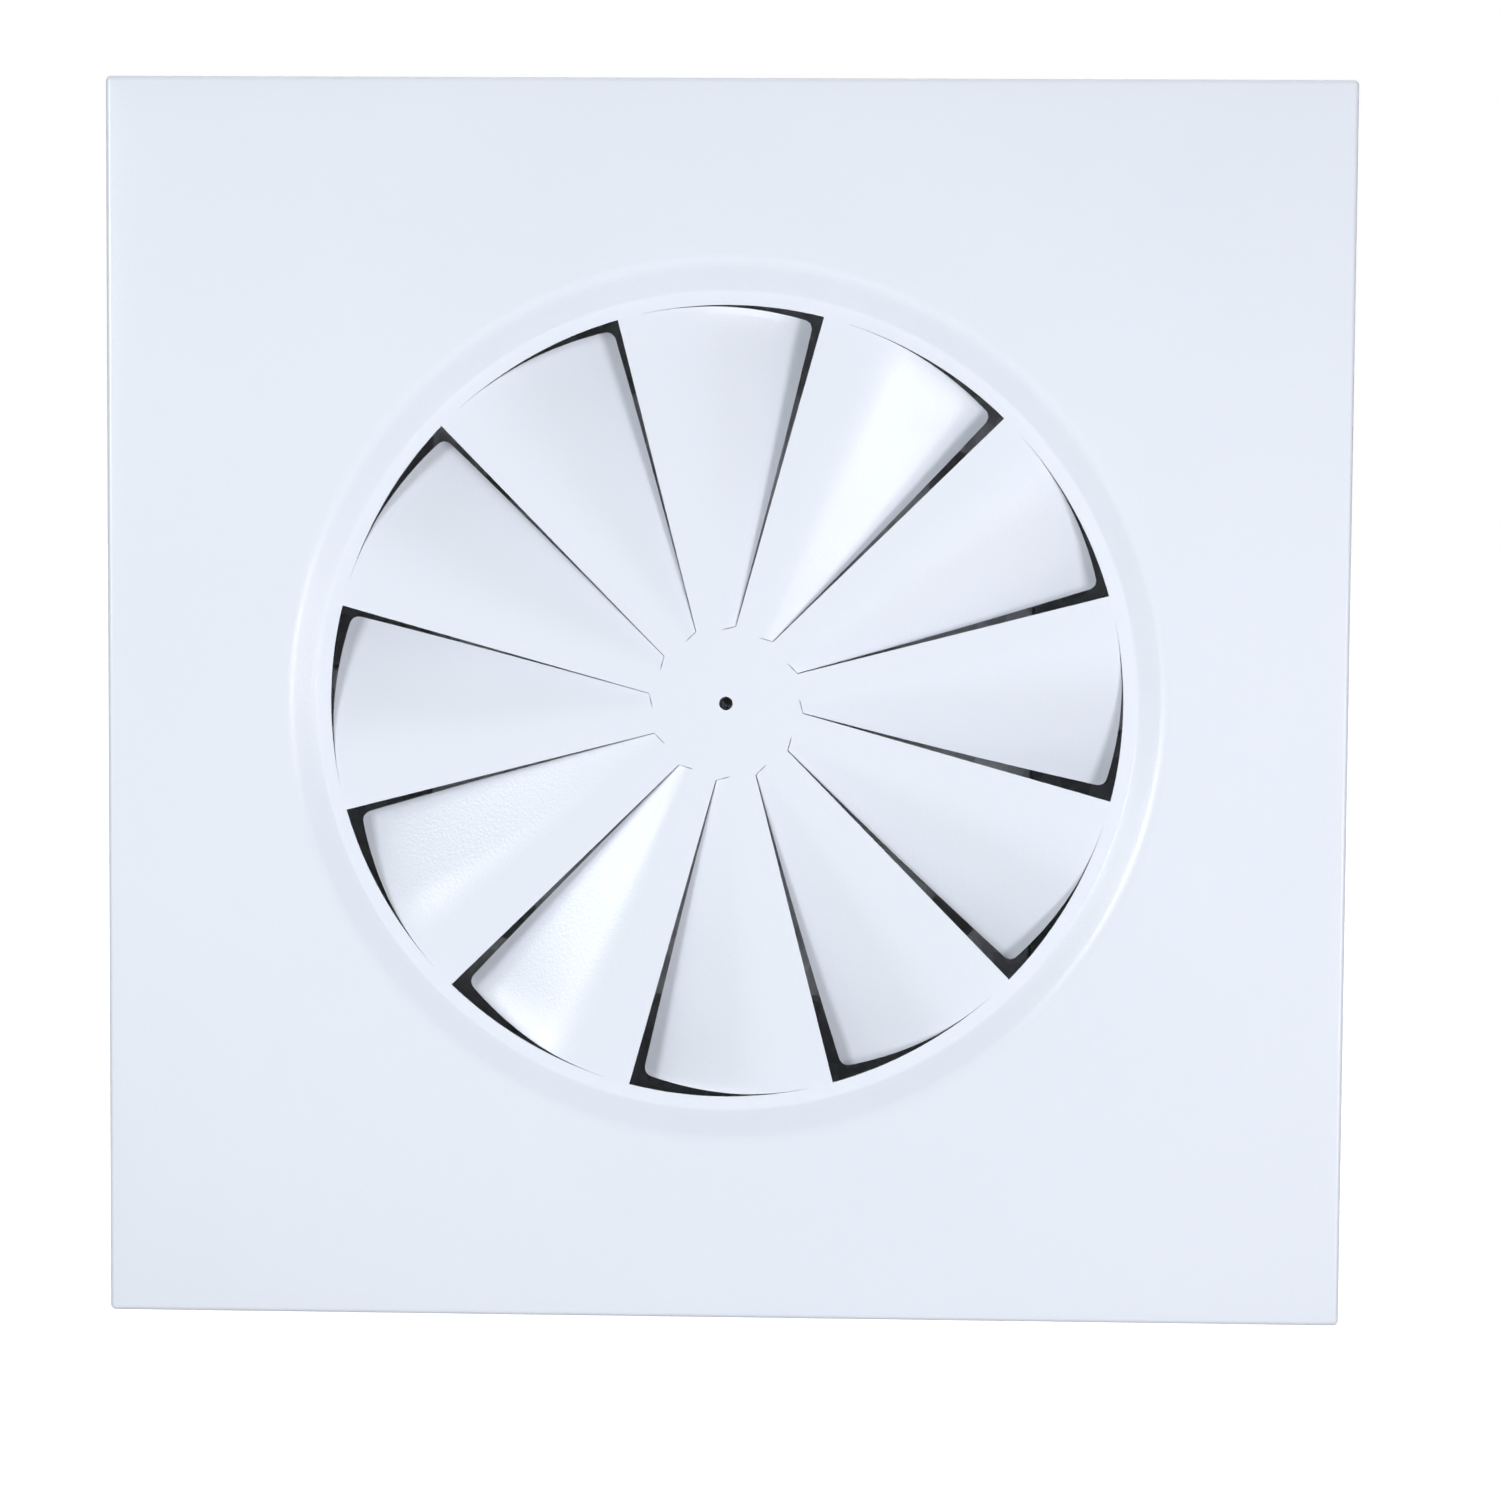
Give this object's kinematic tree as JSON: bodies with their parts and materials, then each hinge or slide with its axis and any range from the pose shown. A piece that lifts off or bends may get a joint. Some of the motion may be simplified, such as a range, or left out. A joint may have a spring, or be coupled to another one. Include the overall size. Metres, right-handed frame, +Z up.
{
  "type": "swirl air diffuser",
  "caption": "Square pressed-steel swirl diffuser face with fixed radial blades, on a plenum box with a baffle, hanger lugs and a rear spigot with a lockable damper.",
  "frame": {"origin": "centre of the whole unit: middle of its width and height, halfway from the face to the spigot's end", "axes": "+X to the right when looking at the face, +Y from the face back along the spigot, +Z up as pictured; in a ceiling the face (-Y) looks down"},
  "size_m": [0.595, 0.296, 0.595],
  "materials": {
    "white_powder_coat": "semi-gloss white powder coat with a fine orange-peel texture",
    "galvanised_steel": "bare hot-dip galvanised sheet with spangle",
    "zinc_plated_steel": "bright zinc plating",
    "black_foam": "closed-cell foam strip",
    "white_nylon": "moulded nylon"
  },
  "bodies": {
    "housing": {"box_wrap": "galvanised_steel", "box_back": "galvanised_steel", "crossbar": "galvanised_steel", "baffle_plate": "galvanised_steel", "spigot": "galvanised_steel", "quadrant_plate": "galvanised_steel", "hanger_lug_1": "galvanised_steel", "hanger_lug_2": "galvanised_steel", "hanger_lug_3": "galvanised_steel", "hanger_lug_4": "galvanised_steel", "back_rivet_1": "zinc_plated_steel", "back_rivet_2": "zinc_plated_steel", "back_rivet_3": "zinc_plated_steel", "back_rivet_4": "zinc_plated_steel", "spigot_rivet_1": "zinc_plated_steel", "spigot_rivet_2": "zinc_plated_steel", "spigot_rivet_3": "zinc_plated_steel", "spigot_rivet_4": "zinc_plated_steel", "spigot_rivet_5": "zinc_plated_steel", "spigot_rivet_6": "zinc_plated_steel", "hanger_rivet_1": "zinc_plated_steel", "hanger_rivet_2": "zinc_plated_steel", "hanger_rivet_3": "zinc_plated_steel", "hanger_rivet_4": "zinc_plated_steel", "hanger_rivet_5": "zinc_plated_steel", "hanger_rivet_6": "zinc_plated_steel", "hanger_rivet_7": "zinc_plated_steel", "hanger_rivet_8": "zinc_plated_steel", "quadrant_rivet_1": "zinc_plated_steel", "quadrant_rivet_2": "zinc_plated_steel", "baffle_rivet_1": "zinc_plated_steel", "baffle_rivet_2": "zinc_plated_steel", "baffle_rivet_3": "zinc_plated_steel", "baffle_rivet_4": "zinc_plated_steel", "crossbar_screw_1": "zinc_plated_steel", "crossbar_screw_2": "zinc_plated_steel", "crossbar_screw_3": "zinc_plated_steel", "crossbar_screw_4": "zinc_plated_steel", "crossbar_rivet_nut": "zinc_plated_steel", "shaft_bush_left": "white_nylon", "shaft_bush_right": "white_nylon"},
    "face": {"face_plate": "white_powder_coat", "face_seal": "black_foam"},
    "damper": {"damper_blade": "galvanised_steel", "blade_clamp_1": "galvanised_steel", "blade_clamp_2": "galvanised_steel", "damper_shaft": "zinc_plated_steel", "shaft_clip": "zinc_plated_steel", "lever": "zinc_plated_steel", "lever_nut": "zinc_plated_steel", "lock_bolt": "zinc_plated_steel", "lock_washer": "zinc_plated_steel", "blade_rivet_1": "zinc_plated_steel", "blade_rivet_2": "zinc_plated_steel", "blade_rivet_3": "zinc_plated_steel", "blade_rivet_4": "zinc_plated_steel"},
    "wing_nut": {"wing_nut": "zinc_plated_steel"}
  },
  "joints": [
    {"name": "face_off", "type": "slide", "parent": "housing", "child": "face", "axis": [0, -1, 0], "range_m": [0, 0.15]},
    {"name": "damper_turn", "type": "hinge", "parent": "housing", "child": "damper", "pos_m": [0, 0.052, 0], "axis": [1, 0, 0], "range_deg": [0, 90]},
    {"name": "wing_nut_turn", "type": "hinge", "parent": "damper", "child": "wing_nut", "pos_m": [0.1218, 0.097, 0], "axis": [1, 0, 0], "range_deg": [0, 270]}
  ]
}
